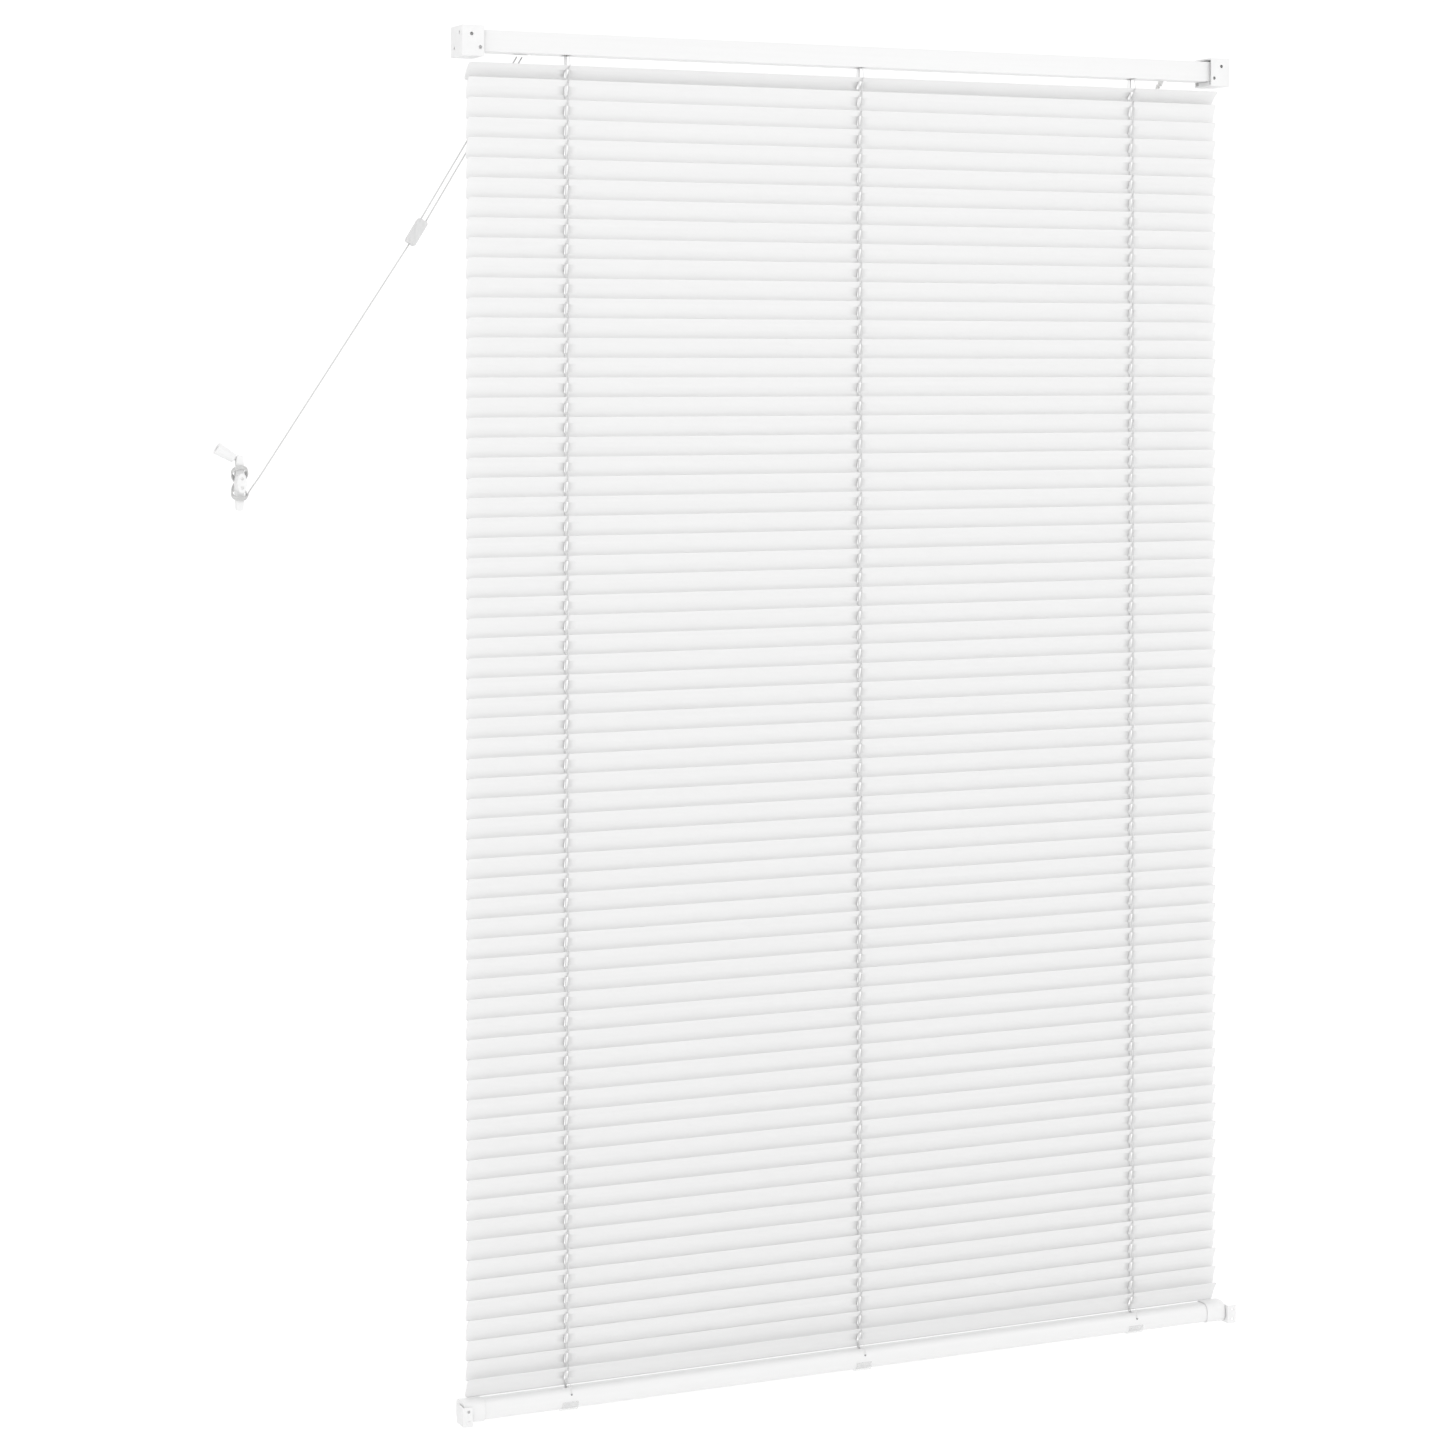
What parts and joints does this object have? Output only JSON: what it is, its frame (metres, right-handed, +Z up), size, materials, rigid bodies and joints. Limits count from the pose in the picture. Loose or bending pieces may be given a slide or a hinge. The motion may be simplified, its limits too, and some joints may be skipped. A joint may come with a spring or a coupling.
{
  "type": "venetian blind",
  "caption": "Closed venetian blind with thin crowned metal slats on string ladders, a channel headrail in box brackets, a tilt wand and pull cords wound on a wall cleat.",
  "frame": {"origin": "in the wall plane at mid-width, at the top of the box brackets", "axes": "+X along the headrail, +Y from the wall into the room, +Z up"},
  "size_m": [1.3189, 0.0449, 1.594],
  "materials": {
    "slat_enamel": "satin white enamel on aluminium",
    "rail_enamel": "satin white enamel on steel",
    "bracket_plastic": "white moulded",
    "mechanism_plastic": "off-white moulded",
    "clear_plastic": "clear moulded acrylic",
    "cord": "white braided polyester",
    "steel": "zinc plated"
  },
  "bodies": {
    "root": {"headrail": "rail_enamel", "headrail_end_cap_left": "mechanism_plastic", "headrail_end_cap_right": "mechanism_plastic", "box_bracket_left": "bracket_plastic", "box_bracket_right": "bracket_plastic", "ladder_cradle_left": "mechanism_plastic", "ladder_cradle_centre": "mechanism_plastic", "ladder_cradle_right": "mechanism_plastic", "cord_lock_housing": "mechanism_plastic", "tilter_housing": "mechanism_plastic", "lift_cord_left": "cord", "lift_cord_centre": "cord", "lift_cord_right": "cord", "pull_cord_a": "cord", "pull_cord_b": "cord", "cord_connector": "clear_plastic", "tail_cord": "cord", "cleat_winding": "cord", "cord_cleat": "bracket_plastic", "cord_tassel": "bracket_plastic", "hold_down_bracket_left": "bracket_plastic", "hold_down_bracket_right": "bracket_plastic"},
    "door_left": {"bracket_door_left": "bracket_plastic"},
    "door_right": {"bracket_door_right": "bracket_plastic"},
    "lock_roller": {"cord_lock_roller": "steel"},
    "tilt_shaft": {"tilt_rod": "steel", "ladder_drum_left": "mechanism_plastic", "ladder_drum_centre": "mechanism_plastic", "ladder_drum_right": "mechanism_plastic", "worm_gear": "mechanism_plastic"},
    "stem": {"tilter_stem": "mechanism_plastic"},
    "hook": {"wand_hook": "mechanism_plastic"},
    "wand": {"wand": "clear_plastic", "wand_grip": "mechanism_plastic"},
    "rail": {"bottom_rail": "rail_enamel", "rail_end_cap_left": "bracket_plastic", "rail_end_cap_right": "bracket_plastic", "ladder_clip_left": "clear_plastic", "ladder_clip_centre": "clear_plastic", "ladder_clip_right": "clear_plastic"},
    "slat_group_01": {"slats_01": "slat_enamel"},
    "near_strings_01": {"near_string_01": "cord"},
    "slat_group_02": {"slats_02": "slat_enamel"},
    "near_strings_02": {"near_string_02": "cord"},
    "slat_group_03": {"slats_03": "slat_enamel"},
    "near_strings_03": {"near_string_03": "cord"},
    "slat_group_04": {"slats_04": "slat_enamel"},
    "near_strings_04": {"near_string_04": "cord"},
    "slat_group_05": {"slats_05": "slat_enamel"},
    "near_strings_05": {"near_string_05": "cord"},
    "slat_group_06": {"slats_06": "slat_enamel"},
    "near_strings_06": {"near_string_06": "cord"},
    "slat_group_07": {"slats_07": "slat_enamel"},
    "near_strings_07": {"near_string_07": "cord"},
    "slat_group_08": {"slats_08": "slat_enamel"},
    "near_strings_08": {"near_string_08": "cord"},
    "slat_group_09": {"slats_09": "slat_enamel"},
    "near_strings_09": {"near_string_09": "cord"},
    "slat_group_10": {"slats_10": "slat_enamel"},
    "near_strings_10": {"near_string_10": "cord"}
  },
  "joints": [
    {"name": "tilt", "type": "slide", "parent": "root", "child": "slat_group_01", "axis": [0, 0.5878, 0.809], "range_m": [0, 0.0176], "deforming": ["slats_01", "slats_02", "slats_03", "slats_04", "slats_05", "slats_06", "slats_07", "slats_08", "slats_09", "slats_10"]},
    {"name": "rod_turn", "type": "hinge", "parent": "root", "child": "tilt_shaft", "pos_m": [0, 0.018, -0.0135], "axis": [1, 0, 0], "range_deg": [0, 72]},
    {"name": "lift", "type": "slide", "parent": "root", "child": "rail", "axis": [0, 0, 1], "range_m": [0, 1.33049], "deforming": ["lift_cord_left", "lift_cord_centre", "lift_cord_right", "slats_02", "slats_03", "slats_04", "slats_05", "slats_06", "slats_07", "slats_08", "slats_09", "slats_10", "near_string_02", "near_string_03", "near_string_04", "near_string_05", "near_string_06", "near_string_07", "near_string_08", "near_string_09", "near_string_10"]},
    {"name": "lift_02", "type": "slide", "parent": "slat_group_01", "child": "slat_group_02", "axis": [0, 0, 1], "range_m": [0, 0.13512]},
    {"name": "lift_03", "type": "slide", "parent": "slat_group_01", "child": "slat_group_03", "axis": [0, 0, 1], "range_m": [0, 0.27023]},
    {"name": "lift_04", "type": "slide", "parent": "slat_group_01", "child": "slat_group_04", "axis": [0, 0, 1], "range_m": [0, 0.40534]},
    {"name": "lift_05", "type": "slide", "parent": "slat_group_01", "child": "slat_group_05", "axis": [0, 0, 1], "range_m": [0, 0.54045]},
    {"name": "lift_06", "type": "slide", "parent": "slat_group_01", "child": "slat_group_06", "axis": [0, 0, 1], "range_m": [0, 0.69846]},
    {"name": "lift_07", "type": "slide", "parent": "slat_group_01", "child": "slat_group_07", "axis": [0, 0, 1], "range_m": [0, 0.85647]},
    {"name": "lift_08", "type": "slide", "parent": "slat_group_01", "child": "slat_group_08", "axis": [0, 0, 1], "range_m": [0, 1.01448]},
    {"name": "lift_09", "type": "slide", "parent": "slat_group_01", "child": "slat_group_09", "axis": [0, 0, 1], "range_m": [0, 1.17249]},
    {"name": "lift_10", "type": "slide", "parent": "slat_group_01", "child": "slat_group_10", "axis": [0, 0, 1], "range_m": [0, 1.3305]},
    {"name": "strings_01", "type": "slide", "parent": "slat_group_01", "child": "near_strings_01", "axis": [0, -0.5878, -0.809], "range_m": [0, 0.0352], "deforming": ["near_string_01"]},
    {"name": "strings_02", "type": "slide", "parent": "slat_group_02", "child": "near_strings_02", "axis": [0, -0.5878, -0.809], "range_m": [0, 0.0352], "deforming": ["near_string_02"]},
    {"name": "strings_03", "type": "slide", "parent": "slat_group_03", "child": "near_strings_03", "axis": [0, -0.5878, -0.809], "range_m": [0, 0.0352], "deforming": ["near_string_03"]},
    {"name": "strings_04", "type": "slide", "parent": "slat_group_04", "child": "near_strings_04", "axis": [0, -0.5878, -0.809], "range_m": [0, 0.0352], "deforming": ["near_string_04"]},
    {"name": "strings_05", "type": "slide", "parent": "slat_group_05", "child": "near_strings_05", "axis": [0, -0.5878, -0.809], "range_m": [0, 0.0352], "deforming": ["near_string_05"]},
    {"name": "strings_06", "type": "slide", "parent": "slat_group_06", "child": "near_strings_06", "axis": [0, -0.5878, -0.809], "range_m": [0, 0.0352], "deforming": ["near_string_06"]},
    {"name": "strings_07", "type": "slide", "parent": "slat_group_07", "child": "near_strings_07", "axis": [0, -0.5878, -0.809], "range_m": [0, 0.0352], "deforming": ["near_string_07"]},
    {"name": "strings_08", "type": "slide", "parent": "slat_group_08", "child": "near_strings_08", "axis": [0, -0.5878, -0.809], "range_m": [0, 0.0352], "deforming": ["near_string_08"]},
    {"name": "strings_09", "type": "slide", "parent": "slat_group_09", "child": "near_strings_09", "axis": [0, -0.5878, -0.809], "range_m": [0, 0.0352], "deforming": ["near_string_09"]},
    {"name": "strings_10", "type": "slide", "parent": "slat_group_10", "child": "near_strings_10", "axis": [0, -0.5878, -0.809], "range_m": [0, 0.0352], "deforming": ["near_string_10"]},
    {"name": "stem_spin", "type": "hinge", "parent": "root", "child": "stem", "pos_m": [0.432, 0.03832, -0.03309], "axis": [0, 0.6801, -0.7331], "range_deg": [-870, 0]},
    {"name": "wand_swing", "type": "hinge", "parent": "root", "child": "hook", "pos_m": [0.432, 0.03832, -0.03309], "axis": [1, 0, 0], "range_deg": [0, 60]},
    {"name": "wand_twist", "type": "hinge", "parent": "hook", "child": "wand", "pos_m": [0.432, 0.03892, -0.3], "axis": [0, 0, -1], "range_deg": [-870, 0]},
    {"name": "door_left_swing", "type": "hinge", "parent": "root", "child": "door_left", "pos_m": [-0.498, 0.0383, -0.001], "axis": [1, 0, 0], "range_deg": [0, 100]},
    {"name": "door_right_swing", "type": "hinge", "parent": "root", "child": "door_right", "pos_m": [0.498, 0.0383, -0.001], "axis": [1, 0, 0], "range_deg": [0, 100]},
    {"name": "lock_travel", "type": "slide", "parent": "root", "child": "lock_roller", "axis": [0, 0.4138, 0.9104], "range_m": [0, 0.003]}
  ],
  "couplings": [
    {"joint": "rod_turn", "follows": "tilt", "rad_per_m": 71.393},
    {"joint": "lift_02", "follows": "lift", "ratio": 0.10155},
    {"joint": "lift_03", "follows": "lift", "ratio": 0.2031},
    {"joint": "lift_04", "follows": "lift", "ratio": 0.30464},
    {"joint": "lift_05", "follows": "lift", "ratio": 0.40619},
    {"joint": "lift_06", "follows": "lift", "ratio": 0.52495},
    {"joint": "lift_07", "follows": "lift", "ratio": 0.64371},
    {"joint": "lift_08", "follows": "lift", "ratio": 0.76247},
    {"joint": "lift_09", "follows": "lift", "ratio": 0.88123},
    {"joint": "lift_10", "follows": "lift", "ratio": 0.99999},
    {"joint": "strings_01", "follows": "tilt", "ratio": 1.9998},
    {"joint": "strings_02", "follows": "tilt", "ratio": 1.9998},
    {"joint": "strings_03", "follows": "tilt", "ratio": 1.9998},
    {"joint": "strings_04", "follows": "tilt", "ratio": 1.9998},
    {"joint": "strings_05", "follows": "tilt", "ratio": 1.9998},
    {"joint": "strings_06", "follows": "tilt", "ratio": 1.9998},
    {"joint": "strings_07", "follows": "tilt", "ratio": 1.9998},
    {"joint": "strings_08", "follows": "tilt", "ratio": 1.9998},
    {"joint": "strings_09", "follows": "tilt", "ratio": 1.9998},
    {"joint": "strings_10", "follows": "tilt", "ratio": 1.9998},
    {"joint": "stem_spin", "follows": "tilt", "rad_per_m": -856.71},
    {"joint": "wand_twist", "follows": "tilt", "rad_per_m": -856.71}
  ]
}
